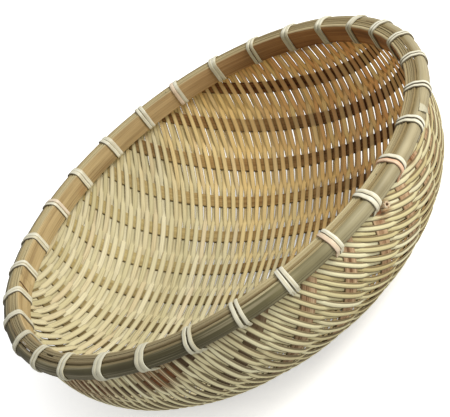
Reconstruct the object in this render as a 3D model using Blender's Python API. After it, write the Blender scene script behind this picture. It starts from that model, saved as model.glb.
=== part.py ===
import math

import bmesh
import bpy
import numpy as np

# A round woven basket that stands on its floor with the mouth up.
# Ribs run along Y and weaver bands along X, in a plain weave over and under.
# Two hoops clamp the upper ends, thin splints cap the slot between the hoops,
# and one long binding strand holds the rim together.

# Sizes in metres
basket_height = 0.097
basket_radius = 0.150
fit_gap = 0.0003
crossing_gap = 0.00035

rib_width = 0.0085
rib_thickness = 0.0010
rib_shift = -0.0063
rib_edge_margin = 0.0297
band_gap = 0.0015
band_edge_margin = 0.0168
band_thickness = 0.0011
flat_margin = 0.0012
shortest_step = 0.0004
longest_end_skew = 0.003

strand_width = 0.0027
strand_thickness = 0.0009
strand_spacing = 0.0032
strand_drop = 0.0022
strand_run_drop = 0.0007

splint_width = 0.00195
splint_height = 0.0026
splint_proud = 0.0005
slot_half = 0.00245
strip_end_drop = 0.0005
inner_hoop_thickness = 0.0026
inner_hoop_height = 0.0132
outer_hoop_thickness = 0.00545
outer_hoop_height = 0.0079
outer_hoop_drop = 0.0007
scarf_tip = 0.0007

floor_radius = 0.0245
wall_top_drop = 0.0110

# Counts, angles and shares
rib_count = 13
band_count = 25
splint_count = 2
ring_steps = 60
run_steps = 2
scarf_steps = 6
scarf_degrees = 16
outer_scarf_start_degrees = 274.5
inner_scarf_start_degrees = 96
lashing_degrees = [
    8.9, 21.4, 34.3, 46.1, 58.7, 71.4, 83.2, 96.4, 107.5, 118.6,
    130.0, 141.8, 153.8, 165.4, 177.6, 189.3, 201.4, 212.9, 224.9, 237.0,
    249.1, 259.4, 271.8, 284.3, 297.1, 309.9, 321.1, 332.1, 344.6, 356.9,
]
curve_samples = 600
across_power_share = 1.14
down_power_share = 0.714
curve_bunch_share = 2.0
weaver_skew_share = 0.079
weaver_bow_share = 0.0815
weaver_fan_share = 0.327
rib_skew_share = 0.012
rib_turn_share = 0.10
reach_halvings = 40
mitre_limit_share = 0.5
lap_step_share = 0.25
spare_ribs = 2
crease_degrees = 40
strip_crease_degrees = 30

rib_color_share = (0.42, 0.25, 0.12)
weaver_color_share = (0.66, 0.55, 0.34)
hoop_skin_color_share = (0.40, 0.36, 0.22)
hoop_inner_color_share = (0.46, 0.33, 0.18)
splint_color_share = (0.62, 0.50, 0.34)
strand_color_share = (0.80, 0.76, 0.62)
tone_swing_share = 0.035
tone_turn_share = 1.7

# The outer hoop's section: share of its thickness, share of its height
outer_section_shares = [
    (0.0, 0.0), (0.0, 0.97), (0.12, 1.0), (0.60, 0.98),
    (0.87, 0.84), (1.0, 0.52), (0.88, 0.17), (0.5, 0.0),
]
inner_section_shares = [
    (0.0, 0.04), (0.0, 0.91), (0.5, 1.0), (1.0, 0.99), (1.0, 0.0), (0.16, 0.0),
]

# Heights and radii that follow from the sizes above
splint_top = basket_height - strand_thickness - fit_gap
hoop_top = splint_top - splint_proud
outer_hoop_top = hoop_top - outer_hoop_drop
splint_bottom = splint_top - splint_height
strip_end_height = splint_bottom - strip_end_drop
wall_top = hoop_top - wall_top_drop
weave_offset = rib_thickness / 2 + crossing_gap + band_thickness / 2
wall_half = weave_offset + band_thickness / 2
floor_height = wall_half
outer_hoop_outside = basket_radius - strand_thickness - fit_gap
outer_hoop_inside = outer_hoop_outside - outer_hoop_thickness
slot_radius = outer_hoop_inside - slot_half
inner_hoop_outside = slot_radius - slot_half
inner_hoop_inside = inner_hoop_outside - inner_hoop_thickness

for item in list(bpy.data.objects):
    bpy.data.objects.remove(item, do_unlink=True)


def make_material(name, color, roughness):
    material = bpy.data.materials.new(name)
    material.use_nodes = True
    shader = material.node_tree.nodes["Principled BSDF"]
    shader.inputs["Base Color"].default_value = (*color, 1.0)
    shader.inputs["Roughness"].default_value = roughness
    return material


def toned(color, number):
    """A strip's own tone, a little lighter or darker than its neighbours'."""
    change = tone_swing_share * math.sin(tone_turn_share * number)
    return tuple(channel + change for channel in color)


def make_object(name, points, faces, color, roughness, smooth_degrees=crease_degrees):
    mesh = bpy.data.meshes.new(name)
    mesh.from_pydata([tuple(map(float, p)) for p in points], [], faces)
    mesh.validate()
    shape = bmesh.new()
    shape.from_mesh(mesh)
    bmesh.ops.recalc_face_normals(shape, faces=shape.faces)
    shape.to_mesh(mesh)
    shape.free()
    mesh.shade_smooth()
    mesh.set_sharp_from_angle(angle=math.radians(smooth_degrees))
    item = bpy.data.objects.new(name, mesh)
    item.data.materials.append(make_material(name, color, roughness))
    bpy.context.scene.collection.objects.link(item)
    return item


# The middle surface of the woven wall, as radius and height along its length
def wall_curve():
    turn = np.linspace(0.0, 1.0, curve_samples) ** curve_bunch_share * math.pi / 2
    across = np.clip(np.cos(turn), 0.0, 1.0) ** across_power_share
    down = np.sin(turn) ** down_power_share
    radius = floor_radius + (slot_radius - floor_radius) * across
    height = wall_top - (wall_top - floor_height) * down
    radius = np.concatenate([[slot_radius], radius, [0.0]])
    height = np.concatenate([[strip_end_height], height, [floor_height]])
    radius = radius[::-1]
    height = height[::-1]
    length = np.concatenate([[0.0], np.cumsum(np.hypot(np.diff(radius), np.diff(height)))])
    return length, radius, height


curve_length, curve_radius, curve_height = wall_curve()
end_length = curve_length[-1]
rib_pitch = (end_length - rib_edge_margin) / ((rib_count - 1) / 2)
band_pitch = (end_length - band_edge_margin) / ((band_count - 1) / 2)
band_width = band_pitch - band_gap
slope_radius = np.gradient(curve_radius, curve_length)
slope_height = np.gradient(curve_height, curve_length)


def wall_point(u, v, offset):
    """Point of the wall for flat coordinates u, v; offset is outward from the middle."""
    length = math.hypot(u, v)
    radius = np.interp(length, curve_length, curve_radius)
    height = np.interp(length, curve_length, curve_height)
    step_radius = np.interp(length, curve_length, slope_radius)
    step_height = np.interp(length, curve_length, slope_height)
    size = math.hypot(step_radius, step_height)
    radius = radius + offset * step_height / size
    height = height - offset * step_radius / size
    if length == 0.0:
        return (0.0, 0.0, height)
    return (radius * u / length, radius * v / length, height)


def weave_place(a, b):
    """Flat coordinates of a place that the weave counts as a across the ribs and b along them.

    Both sets of strips lie a little askew, and the weavers fan out towards the rim.
    """
    u = a + rib_skew_share * b + rib_turn_share * b * (a / end_length) ** 2
    v = b * (1 + weaver_fan_share * (a / end_length) ** 2)
    return u, v + weaver_skew_share * a + weaver_bow_share * a ** 2 / end_length


def rib_half(a, b):
    """Half a rib's width, as the weave counts it, where the wall has drawn in."""
    u, v = weave_place(a, b)
    length = math.hypot(u, v)
    around = np.interp(length, curve_length, curve_radius) / length
    drawn = math.sqrt((u / length) ** 2 + (around * v / length) ** 2)
    return rib_width / 2 / drawn


# A strip is a row of stations, each with a left and a right edge place (a, b, offset)
def strip_mesh(stations, thickness):
    points = []
    for left, right in stations:
        for (a, b, offset), side in ((left, 1), (right, 1), (right, -1), (left, -1)):
            points.append(wall_point(*weave_place(a, b), offset + side * thickness / 2))
    faces = [(0, 1, 2), (0, 2, 3)]
    for i in range(len(stations) - 1):
        a = 4 * i
        b = a + 4
        faces += [(a, a + 1, b + 1), (a, b + 1, b)]
        faces += [(a + 3, b + 2, a + 2), (a + 3, b + 3, b + 2)]
        faces += [(a + 1, a + 2, b + 2), (a + 1, b + 2, b + 1)]
        faces += [(a, b, b + 3), (a, b + 3, a + 3)]
    last = 4 * (len(stations) - 1)
    faces += [(last, last + 2, last + 1), (last, last + 3, last + 2)]
    return points, faces


def rim_reach(middle, sign, is_rib):
    """How far one line of the weave runs from its middle to the rim, on one side."""
    inside = 0.0
    outside = end_length
    for step in range(reach_halvings):
        reach = (inside + outside) / 2
        place = weave_place(middle, sign * reach) if is_rib else weave_place(sign * reach, middle)
        if math.hypot(*place) < end_length:
            inside = reach
        else:
            outside = reach
    return inside


def strip_ends(middle, half, sign, is_rib):
    """Where a strip's two edges end on one side, so that its end follows the rim."""
    left = rim_reach(middle - half, sign, is_rib)
    right = rim_reach(middle + half, sign, is_rib)
    longest = min(left, right) + longest_end_skew
    return sign * min(left, longest), sign * min(right, longest)


def rib_place(number):
    return rib_shift + rib_pitch * (number - (rib_count - 1) / 2)


def band_place(number):
    return band_pitch * (number - (band_count - 1) / 2)


def inner_knots(knots, start, end):
    return [k for k in knots if max(start) + shortest_step < k < min(end) - shortest_step]


def make_rib(number, a):
    start = strip_ends(a, rib_width / 2, -1, True)
    end = strip_ends(a, rib_width / 2, 1, True)
    knots = [band_place(j) - band_pitch / 2 for j in range(band_count + 1)]
    stations = []

    def station(b_left, b_right):
        left = (a - rib_half(a, b_left), b_left, 0.0)
        right = (a + rib_half(a, b_right), b_right, 0.0)
        stations.append((left, right))

    station(*start)
    for b in inner_knots(knots, start, end):
        station(b, b)
    station(*end)
    points, faces = strip_mesh(stations, rib_thickness)
    color = toned(rib_color_share, number)
    return make_object(f"rib_{number + 1:02d}", points, faces, color, 0.6, strip_crease_degrees)


def make_band(number, b):
    half = band_width / 2
    start = strip_ends(b, half, -1, False)
    end = strip_ends(b, half, 1, False)
    knots = []
    offsets = []
    for k in range(-spare_ribs, rib_count + spare_ribs):
        a = rib_place(k)
        flat = flat_margin + max(rib_half(a, b - half), rib_half(a, b + half))
        side = weave_offset if (k + number) % 2 else -weave_offset
        knots += [a - flat, a + flat]
        offsets += [side, side]

    stations = []

    def station(a_left, a_right):
        either = np.interp([a_left, a_right], knots, offsets)
        offset = float(max(either, key=abs))
        stations.append(((a_left, b - half, offset), (a_right, b + half, offset)))

    station(*start)
    for a in inner_knots(knots, start, end):
        station(a, a)
    station(*end)
    points, faces = strip_mesh(stations, band_thickness)
    color = toned(weaver_color_share, number)
    return make_object(f"weaver_{number + 1:02d}", points, faces, color, 0.5, strip_crease_degrees)


def level_heights(section, limit):
    """Lowest and highest height of the section at one radius."""
    heights = []
    for i, (radius, height) in enumerate(section):
        after_radius, after_height = section[(i + 1) % len(section)]
        if min(radius, after_radius) <= limit <= max(radius, after_radius) and radius != after_radius:
            share = (limit - radius) / (after_radius - radius)
            heights.append(height + share * (after_height - height))
    return min(heights), max(heights)


def cut_section(section, limit, keep_inside):
    """Section cut at one radius, with as many points as before."""
    cut = [(radius > limit) == keep_inside for radius, height in section]
    if not any(cut):
        return section
    low, high = level_heights(section, limit)
    first, last = (high, low) if keep_inside else (low, high)
    count = sum(cut)
    start = next(i for i in range(len(section)) if cut[i] and not cut[i - 1])
    out = list(section)
    for step in range(count):
        share = step / (count - 1)
        out[(start + step) % len(section)] = (limit, first + share * (last - first))
    return out


def ring_points(section, angle):
    return [(r * math.cos(angle), r * math.sin(angle), height) for r, height in section]


def swept_mesh(rows, closed):
    points = [p for row in rows for p in row]
    size = len(rows[0])
    faces = []
    count = len(rows) if closed else len(rows) - 1
    for i in range(count):
        a = size * i
        b = size * ((i + 1) % len(rows))
        for j in range(size):
            k = (j + 1) % size
            faces += [(a + j, a + k, b + k), (a + j, b + k, b + j)]
    if not closed:
        last = size * (len(rows) - 1)
        faces.append(tuple(range(size)))
        faces.append(tuple(last + j for j in reversed(range(size))))
    return points, faces


def scarfed_hoop(name, section, start_degrees, color, roughness):
    """An open hoop whose two tapered ends lie against each other."""
    low = min(radius for radius, height in section)
    high = max(radius for radius, height in section)
    start = math.radians(start_degrees)
    lap = math.radians(scarf_degrees)
    step = math.radians(360 / ring_steps)
    slack = fit_gap / 2

    def split(share):
        return low + scarf_tip + share * (high - low - 2 * scarf_tip)

    rows = []
    for i in range(scarf_steps + 1):
        share = i / scarf_steps
        rows.append(ring_points(cut_section(section, split(1 - share) + slack, False), start + lap * share))
    ease = step * lap_step_share
    inner_span = math.radians(360) - lap - 2 * ease
    middle_steps = round(inner_span / step)
    for i in range(middle_steps + 1):
        angle = start + lap + ease + inner_span * i / middle_steps
        rows.append(ring_points(section, angle))
    for i in range(scarf_steps + 1):
        share = i / scarf_steps
        angle = start + math.radians(360) + lap * share
        rows.append(ring_points(cut_section(section, split(1 - share) - slack, True), angle))
    points, faces = swept_mesh(rows, False)
    return make_object(name, points, faces, color, roughness)


outer_section = [
    (outer_hoop_inside + a * outer_hoop_thickness, outer_hoop_top - (1 - h) * outer_hoop_height)
    for a, h in outer_section_shares
]
inner_section = [
    (inner_hoop_inside + a * inner_hoop_thickness, hoop_top - (1 - h) * inner_hoop_height)
    for a, h in inner_section_shares
]


cap_width = splint_count * splint_width + (splint_count - 1) * fit_gap


def make_splint(number):
    inside = slot_radius - cap_width / 2 + number * (splint_width + fit_gap)
    outside = inside + splint_width
    section = [
        (inside, splint_bottom), (outside, splint_bottom),
        (outside, splint_top), (inside, splint_top),
    ]
    rows = [ring_points(section, math.radians(360 * i / ring_steps)) for i in range(ring_steps)]
    points, faces = swept_mesh(rows, True)
    color = toned(splint_color_share, number)
    return make_object(f"capping_splint_{number + 1}", points, faces, color, 0.55)


# The path over the rim that the binding strand lies on, from the inside to the outside
def rim_path():
    inner_low = hoop_top - inner_hoop_height
    outer_low = outer_hoop_top - outer_hoop_height
    path = [(inner_hoop_inside, inner_low - strand_drop - strand_width / 2)]
    path += inner_section[1:3]
    path += [(slot_radius - cap_width / 2, splint_top), (slot_radius + cap_width / 2, splint_top)]
    path += outer_section[3:]
    path.append((outer_section[-1][0], outer_low - strand_run_drop - strand_width))
    return path


def offset_path(path, distance):
    out = []
    for i, (radius, height) in enumerate(path):
        before = path[max(i - 1, 0)]
        after = path[min(i + 1, len(path) - 1)]
        first = np.array([radius - before[0], height - before[1]])
        second = np.array([after[0] - radius, after[1] - height])
        if i == 0:
            first = second
        if i == len(path) - 1:
            second = first
        first = first / np.linalg.norm(first)
        second = second / np.linalg.norm(second)
        normal = np.array([-(first[1] + second[1]), first[0] + second[0]])
        normal = normal / np.linalg.norm(normal)
        reach = distance / max(mitre_limit_share, abs(normal @ np.array([-first[1], first[0]])))
        out.append(np.array([radius, height]) + normal * reach)
    return np.array(out)


def make_binding():
    path = rim_path()
    under = offset_path(path, fit_gap)
    over = offset_path(path, fit_gap + strand_thickness)
    steps = [math.dist(path[i], path[i + 1]) for i in range(len(path) - 1)]
    marks = np.concatenate([[0.0], np.cumsum(steps)])
    half = strand_width / 2
    half_angle = half / basket_radius
    spacing = strand_spacing / basket_radius / 2
    inner_low = half
    outer_low = marks[-1] - half

    def place(angle, mark, table):
        radius = np.interp(mark, marks, table[:, 0])
        height = np.interp(mark, marks, table[:, 1])
        return (radius * math.cos(angle), radius * math.sin(angle), height)

    rows = []

    def station(left, right):
        rows.append([place(*left, over), place(*right, over), place(*right, under), place(*left, under)])

    inner_marks = [m for m in marks if inner_low + half < m < outer_low - half]
    for number, turn in enumerate(lashing_degrees):
        first = math.radians(turn) - spacing
        second = math.radians(turn) + spacing
        station((first - half_angle, outer_low - half), (first + half_angle, outer_low + half))
        for mark in reversed(inner_marks):
            station((first - half_angle, mark), (first + half_angle, mark))
        station((first - half_angle, inner_low - half), (first + half_angle, inner_low + half))
        station((second + half_angle, inner_low - half), (second - half_angle, inner_low + half))
        for mark in inner_marks:
            station((second + half_angle, mark), (second - half_angle, mark))
        station((second + half_angle, outer_low - half), (second - half_angle, outer_low + half))
        onward = (lashing_degrees[(number + 1) % len(lashing_degrees)] - turn) % 360
        following = math.radians(turn + onward) - spacing
        for i in range(1, run_steps):
            angle = second + (following - second) * i / run_steps
            station((angle, outer_low - half), (angle, outer_low + half))
    points, faces = swept_mesh(rows, True)
    return make_object("binding_strand", points, faces, strand_color_share, 0.42)


for index in range(rib_count):
    make_rib(index, rib_place(index))
for index in range(band_count):
    make_band(index, band_place(index))
scarfed_hoop("outer_hoop", outer_section, outer_scarf_start_degrees, hoop_skin_color_share, 0.4)
scarfed_hoop("inner_hoop", inner_section, inner_scarf_start_degrees, hoop_inner_color_share, 0.5)
for index in range(splint_count):
    make_splint(index)
make_binding()
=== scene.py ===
import math

import bpy
import numpy as np
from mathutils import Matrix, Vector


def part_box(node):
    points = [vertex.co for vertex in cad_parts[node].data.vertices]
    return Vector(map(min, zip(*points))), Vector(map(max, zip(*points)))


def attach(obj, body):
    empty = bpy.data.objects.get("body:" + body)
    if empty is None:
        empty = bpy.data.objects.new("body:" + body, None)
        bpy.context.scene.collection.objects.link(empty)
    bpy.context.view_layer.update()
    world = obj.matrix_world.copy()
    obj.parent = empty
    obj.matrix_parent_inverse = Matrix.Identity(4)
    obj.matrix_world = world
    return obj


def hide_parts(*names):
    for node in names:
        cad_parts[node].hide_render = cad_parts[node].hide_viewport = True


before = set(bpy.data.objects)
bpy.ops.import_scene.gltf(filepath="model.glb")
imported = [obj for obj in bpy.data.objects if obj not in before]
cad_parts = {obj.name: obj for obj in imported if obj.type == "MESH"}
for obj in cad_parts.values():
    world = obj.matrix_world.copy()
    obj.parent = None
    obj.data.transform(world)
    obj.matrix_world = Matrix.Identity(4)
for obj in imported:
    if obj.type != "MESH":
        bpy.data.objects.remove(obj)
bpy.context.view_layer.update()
chance = np.random.default_rng(17)
print("frame loaded with", len(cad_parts), "nodes")

# Metres throughout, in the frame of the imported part: ribs along Y, weavers along X
mm = 0.001


# The woven wall: a flat disc of strips, bent up into a bowl
wall = {
    "slotRadius": 140.9 * mm,      # where the strip ends stand between the hoops
    "stripEnd": 92.7 * mm,         # height of the strip ends
    "top": 84.3 * mm,              # where the wall starts to curve in
    "floorHeight": 1.95 * mm,      # middle of the weave on the floor
    "floorRadius": 24.5 * mm,
    "acrossPower": 1.14,
    "downPower": 0.714,
    "samples": 600,
    "reachSamples": 4000,
    # both sets of strips lie a little askew, and the weavers fan out towards the rim
    "skew": 0.079,
    "bow": 0.0815,
    "weaverFan": 0.327,
    "ribSkew": 0.012,
    "ribTurn": 0.10,
    "outward": 0.4 * mm,           # the woven strips lie this much outside the wall's middle
}


def wallTable():
    turn = np.linspace(0, 1, wall["samples"]) ** 2 * math.pi / 2
    across = np.clip(np.cos(turn), 0, 1) ** wall["acrossPower"]
    down = np.sin(turn) ** wall["downPower"]
    radius = wall["floorRadius"] + (wall["slotRadius"] - wall["floorRadius"]) * across
    height = wall["top"] - (wall["top"] - wall["floorHeight"]) * down
    radius = np.concatenate([[0], radius[::-1], [wall["slotRadius"]]])
    height = np.concatenate([[wall["floorHeight"]], height[::-1], [wall["stripEnd"]]])
    length = np.concatenate([[0], np.cumsum(np.hypot(np.diff(radius), np.diff(height)))])
    return length, radius, height


wallLength, wallRadius, wallHeight = wallTable()
wallEnd = wallLength[-1]
slopeRadius = np.gradient(wallRadius, wallLength)
slopeHeight = np.gradient(wallHeight, wallLength)


def flatReach(u, v):
    # how far out a place lies on the flat disc, never quite 0
    return np.maximum(np.hypot(u, v), 1e-9)


def wallPoints(u, v, offset):
    # u and v lie on the flat disc, offset is outward from the middle of the weave
    length = flatReach(u, v)
    stepRadius = np.interp(length, wallLength, slopeRadius)
    stepHeight = np.interp(length, wallLength, slopeHeight)
    size = np.hypot(stepRadius, stepHeight)
    radius = np.interp(length, wallLength, wallRadius) + offset * stepHeight / size
    height = np.interp(length, wallLength, wallHeight) - offset * stepRadius / size
    return np.stack([radius * u / length, radius * v / length, height], axis=1)


def weavePlace(a, b):
    # flat place of a point that the weave counts as a across the ribs and b along them
    u = a + wall["ribSkew"] * b + wall["ribTurn"] * b * (a / wallEnd) ** 2
    v = b * (1 + wall["weaverFan"] * (a / wallEnd) ** 2)
    return u, v + wall["skew"] * a + wall["bow"] * a ** 2 / wallEnd


def weavePoints(a, b, offset):
    u, v = weavePlace(a, b)
    return wallPoints(u, v, offset + wall["outward"])


def rimReach(middle, side, isRib):
    # how far one line of the weave runs from its middle to the rim, on one side
    reach = np.linspace(0, wallEnd, wall["reachSamples"])
    u, v = weavePlace(middle, side * reach) if isRib else weavePlace(side * reach, middle)
    return reach[np.hypot(u, v) < wallEnd].max()


def drawnIn(a, b):
    # how much of its flat width a rib keeps where the wall has drawn in
    u, v = weavePlace(a, b)
    length = flatReach(u, v)
    around = np.interp(length, wallLength, wallRadius) / length
    return np.hypot(u, around * v) / length


# Laths: one straight blank for each section, modelled once, then copied and bent
laths = {
    "smoothAngle": 50,
    "numberShare": 0.8,            # share of its whole number that a strip's width takes up
}


def deselectAll():
    for item in list(bpy.context.selected_objects):
        item.select_set(False)


def makeBlank(name, outline, rings):
    # a unit lath along X; the outline is a list of across and depth shares
    deselectAll()
    bpy.ops.mesh.primitive_cylinder_add(vertices=len(outline), radius=1, depth=1, end_fill_type="NGON",
                                        rotation=(0, math.pi / 2, 0))
    blank = bpy.context.object
    blank.name = name
    bpy.ops.object.transform_apply(location=False, rotation=True, scale=True)
    mesh = blank.data
    places = np.empty(len(mesh.vertices) * 3)
    mesh.vertices.foreach_get("co", places)
    places = places.reshape(-1, 3)
    turn = np.arctan2(places[:, 2], places[:, 1]) / math.tau * len(outline)
    column = np.round(turn - turn[0]).astype(int) % len(outline)
    places[:, 1:] = np.array(outline)[column]
    mesh.vertices.foreach_set("co", places.ravel())
    bpy.ops.object.mode_set(mode="EDIT")
    bpy.ops.mesh.select_mode(type="EDGE")
    bpy.ops.mesh.select_all(action="DESELECT")
    bpy.ops.object.mode_set(mode="OBJECT")
    for edge in mesh.edges:
        first, second = (mesh.vertices[i].co.x for i in edge.vertices)
        edge.select = abs(first - second) > 0.5
    bpy.ops.object.mode_set(mode="EDIT")
    bpy.ops.mesh.subdivide(number_cuts=rings - 1)
    bpy.ops.object.mode_set(mode="OBJECT")
    mesh.uv_layers.new(name="fibre")
    return blank


def roundedOutline(count, squareness, taper=0.0):
    # a rounded section, wider on its outer side where taper is above 0
    outline = []
    for i in range(count):
        turn = -math.pi + math.tau * (i + 1) / count
        across = math.copysign(abs(math.cos(turn)) ** squareness, math.cos(turn)) / 2
        depth = math.copysign(abs(math.sin(turn)) ** squareness, math.sin(turn)) / 2
        outline.append((across * (1 + taper * 2 * depth), depth))
    return outline


def bendLath(blank, name, bend):
    # bend takes along (0 to 1), across and depth shares, and gives points and fibre places
    lath = blank.copy()
    lath.data = blank.data.copy()
    lath.name = name
    lath.data.name = name
    bpy.context.scene.collection.objects.link(lath)
    mesh = lath.data
    shares = np.empty(len(mesh.vertices) * 3)
    mesh.vertices.foreach_get("co", shares)
    shares = shares.reshape(-1, 3)
    points, fibre = bend(shares[:, 0] + 0.5, shares[:, 1], shares[:, 2])
    mesh.vertices.foreach_set("co", points.ravel())
    corners = np.empty(len(mesh.loops), dtype=np.int32)
    mesh.loops.foreach_get("vertex_index", corners)
    mesh.uv_layers["fibre"].data.foreach_set("uv", fibre[corners].ravel())
    mesh.attributes.new("outward", "FLOAT", "POINT").data.foreach_set("value", shares[:, 2])
    mesh.update()
    return lath


def fibrePlaces(along, strip, across):
    # metres along a strip, and the strip's number plus the place across it
    return np.stack([along, strip + 0.5 + across * laths["numberShare"]], axis=1)


def aroundRim(radius, angle, height):
    return np.stack([radius * np.cos(angle), radius * np.sin(angle), height], axis=1)


def joinLaths(parts, name, paint, slot, *nodes):
    deselectAll()
    for part in parts:
        part.select_set(True)
    bpy.context.view_layer.objects.active = parts[0]
    if len(parts) > 1:
        bpy.ops.object.join()
    piece = bpy.context.view_layer.objects.active
    piece.name = name
    piece.data.name = name
    bpy.ops.object.mode_set(mode="EDIT")
    bpy.ops.mesh.select_all(action="SELECT")
    bpy.ops.mesh.normals_make_consistent(inside=False)
    bpy.ops.object.mode_set(mode="OBJECT")
    bpy.ops.object.shade_smooth_by_angle(angle=math.radians(laths["smoothAngle"]))
    piece.data.materials.clear()
    piece.data.materials.append(paint.material)
    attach(piece, "root")
    if nodes:
        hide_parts(*nodes)
    return piece


# Paint: node materials written as sums
class Wire:
    def __init__(self, paint, socket):
        self.paint = paint
        self.socket = socket

    def sum(self, operation, first, second, clamp=False):
        return self.paint.node("Math", {"operation": operation, "use_clamp": clamp}, {0: first, 1: second})

    def __add__(self, other):
        return self.sum("ADD", self, other)

    def __sub__(self, other):
        return self.sum("SUBTRACT", self, other)

    def __mul__(self, other):
        return self.sum("MULTIPLY", self, other)

    def __rsub__(self, other):
        return self.sum("SUBTRACT", other, self)

    def __pow__(self, other):
        return self.sum("POWER", self, other)

    def __lt__(self, other):
        return self.sum("LESS_THAN", self, other)

    def __gt__(self, other):
        return self.sum("GREATER_THAN", self, other)

    __radd__ = __add__
    __rmul__ = __mul__

    def whole(self):
        return self.sum("FLOOR", self, 0.0)

    def held(self):
        # kept from 0 to 1
        return self.sum("ADD", self, 0.0, clamp=True)

    def size(self):
        return self.sum("ABSOLUTE", self, 0.0)

    def between(self, low, high):
        # 0 below low, 1 above high, smooth in between
        return self.paint.node("MapRange", {"interpolation_type": "SMOOTHSTEP"},
                               {"Value": self, "From Min": low, "From Max": high})


class Paint:
    def __init__(self, name, **fixed):
        self.material = bpy.data.materials.new(name)
        self.material.use_nodes = True
        self.tree = self.material.node_tree
        self.shader = self.tree.nodes["Principled BSDF"]
        for socket, value in fixed.items():
            self.shader.inputs[socket.replace("_", " ")].default_value = value

    def node(self, kind, settings, inputs, out=0):
        made = self.tree.nodes.new("ShaderNode" + kind)
        for name, value in settings.items():
            if name == "stops":
                while len(made.color_ramp.elements) < len(value):
                    made.color_ramp.elements.new(1)
                for element, (place, color) in zip(made.color_ramp.elements, value):
                    element.position = place
                    element.color = (*color, 1)
            else:
                setattr(made, name, value)
        for key, value in inputs.items():
            self.feed(made.inputs[key], value)
        return Wire(self, made.outputs[out])

    def feed(self, socket, value):
        if isinstance(value, Wire):
            self.tree.links.new(value.socket, socket)
        elif isinstance(value, tuple) and socket.type == "RGBA":
            socket.default_value = (*value, 1)
        else:
            socket.default_value = value

    def mix(self, share, first, second):
        return self.node("Mix", {"data_type": "RGBA"}, {0: share, 6: first, 7: second}, 2)

    def ramp(self, share, stops):
        return self.node("ValToRGB", {"stops": stops}, {0: share})

    def axes(self, vector):
        split = self.tree.nodes.new("ShaderNodeSeparateXYZ")
        self.feed(split.inputs[0], vector)
        return [Wire(self, socket) for socket in split.outputs]

    def fibre(self):
        # metres along, and the strip's number plus the place across it, or metres round a hoop's section
        return self.axes(self.node("UVMap", {"uv_map": "fibre"}, {}))[:2]

    def place(self):
        return self.axes(self.node("TexCoord", {}, {}, "Object"))

    def outward(self):
        # -0.5 on a lath's inner side, 0.5 on its outer side
        return self.node("Attribute", {"attribute_name": "outward"}, {}, "Fac")

    def speckle(self, x, y, z, detail=2.0, roughness=0.5):
        vector = self.node("CombineXYZ", {}, {0: x, 1: y, 2: z})
        inputs = {"Vector": vector, "Scale": 1.0, "Detail": detail, "Roughness": roughness}
        return self.node("TexNoise", {}, inputs)

    def luck(self, number):
        return self.node("TexWhiteNoise", {"noise_dimensions": "1D"}, {"W": number})

    def finish(self, color, roughness, height, strength, distance):
        self.feed(self.shader.inputs["Base Color"], color)
        self.feed(self.shader.inputs["Roughness"], roughness)
        bump = self.node("Bump", {}, {"Height": height, "Strength": strength, "Distance": distance})
        self.feed(self.shader.inputs["Normal"], bump)


# Where colours change over the bowl: towards which side, and how far out that starts and is full
farRightSide = (0.70, -0.71)
sides = {
    "farWallShade": (farRightSide, -65 * mm, 135 * mm),       # inside, cream turns to brown: painted shade and warm bounce light on the far wall
    "dulled": (farRightSide, 55 * mm, 100 * mm),        # the outside and the rim are a little duller there
    "wornAndLit": (farRightSide, -10 * mm, 100 * mm),         # the outer hoop's skin is paler: partly weathered, partly painted light
    "amberRibs": (farRightSide, -60 * mm, 40 * mm),     # inside, the ribs turn from straw to amber
    "darkRibs": (farRightSide, 20 * mm, 110 * mm),      # and then to dark brown: partly their own colour, partly painted shade of the backlit far wall
    "farRow": (farRightSide, -70 * mm, 0.0),            # and, as painted shade, are darker high on the far wall
    "shadedOutside": ((-0.996, -0.087), 100 * mm, 132 * mm),    # the ribs on the near side
    "shadedInside": ((-0.707, -0.707), -105 * mm, -35 * mm),    # straw-coloured ribs darken to this side
    "bleached": ((-0.95, 0.3), 20 * mm, 120 * mm),    # the palest weavers outside
    "shadedLowRim": ((-0.985, 0.174), 78 * mm, 125 * mm),   # the low near stretch of the rim, darker as painted shade
}
# and between which heights
heights = {
    "farRow": (45 * mm, 70 * mm),
    "rimStain": (66 * mm, 88 * mm),
    "underHoop": (78 * mm, 86 * mm),
}
# Red-brown stains below the outer hoop: degrees, height and reach
stains = [
    (188, 79 * mm, 20 * mm), (166, 75 * mm, 26 * mm), (157, 72 * mm, 16 * mm), (251, 79 * mm, 9 * mm),
    (266, 82 * mm, 7 * mm),
]


def towards(x, y, side):
    # how far out a place lies towards one side
    return x * side[0] + y * side[1]


def sideShare(x, y, name, drift=0.0):
    side, start, full = sides[name]
    return (towards(x, y, side) + drift).between(start, full)


def spotShare(x, y, z, degrees, radius, height, reach, core=0.35):
    # a round spot at an angle, a radius and a height, full out to its core and fading to its reach
    turn = math.radians(degrees)
    aside = x - radius * math.cos(turn)
    ahead = y - radius * math.sin(turn)
    above = z - height
    distance = (aside * aside + ahead * ahead + above * above) ** 0.5
    return 1 - distance.between(reach * core, reach)


def stained(paint, color, place, share, stain):
    for degrees, height, reach in stains:
        spot = spotShare(*place, degrees, wall["slotRadius"], height, reach)
        color = paint.mix(spot * share, color, stain)
    return color


# Ribs: flat laths along Y
ribs = {
    "count": 13,
    "shift": -6.3 * mm,
    "edge": 29.7 * mm,             # from the rim to the outermost rib, on the flat disc
    "width": 8.6 * mm,
    "widthRange": (0.94, 1.08),    # from rib to rib
    "swell": 0.04,                 # along one rib
    "swellWave": 50,               # radians per metre, as for the other waves
    "thickness": 0.9 * mm,
    "squareness": 0.35,
    "wander": 0.35 * mm,
    "wanderWaves": (31, 73),
    "rings": 150,
    "shadedEdge": (0.13, 0.21),    # shares across a rib where its shade ends
}
ribPitch = (wallEnd - ribs["edge"]) / ((ribs["count"] - 1) / 2)


def ribMiddle(number):
    return ribs["shift"] + ribPitch * (number - (ribs["count"] - 1) / 2)


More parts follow.
